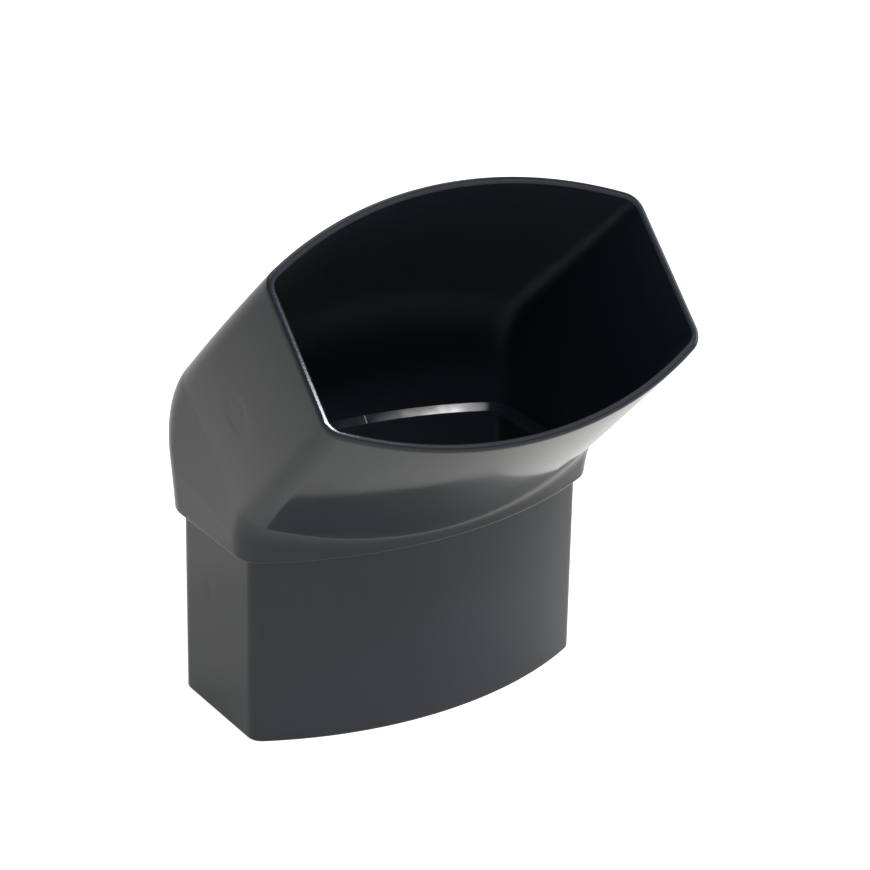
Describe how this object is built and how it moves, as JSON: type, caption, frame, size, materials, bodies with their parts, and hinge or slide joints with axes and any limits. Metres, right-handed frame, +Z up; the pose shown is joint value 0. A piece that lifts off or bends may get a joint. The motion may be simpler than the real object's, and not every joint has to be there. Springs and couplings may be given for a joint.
{
  "type": "downpipe bend",
  "caption": "45 degree bend for a flat-sided oval rainwater downpipe, with a plain spigot at one end and an open socket at the other.",
  "frame": {"origin": "middle of the spigot's open lower end", "axes": "+Z up the spigot towards the shoulder, +X across the flat sides, -Y forwards, the way the socket leans"},
  "size_m": [0.0996, 0.0956, 0.1305],
  "materials": {
    "bend_plastic": "satin dark grey moulded PVC-U, coloured through"
  },
  "bodies": {
    "root": {"bend_body": "bend_plastic"}
  },
  "joints": []
}
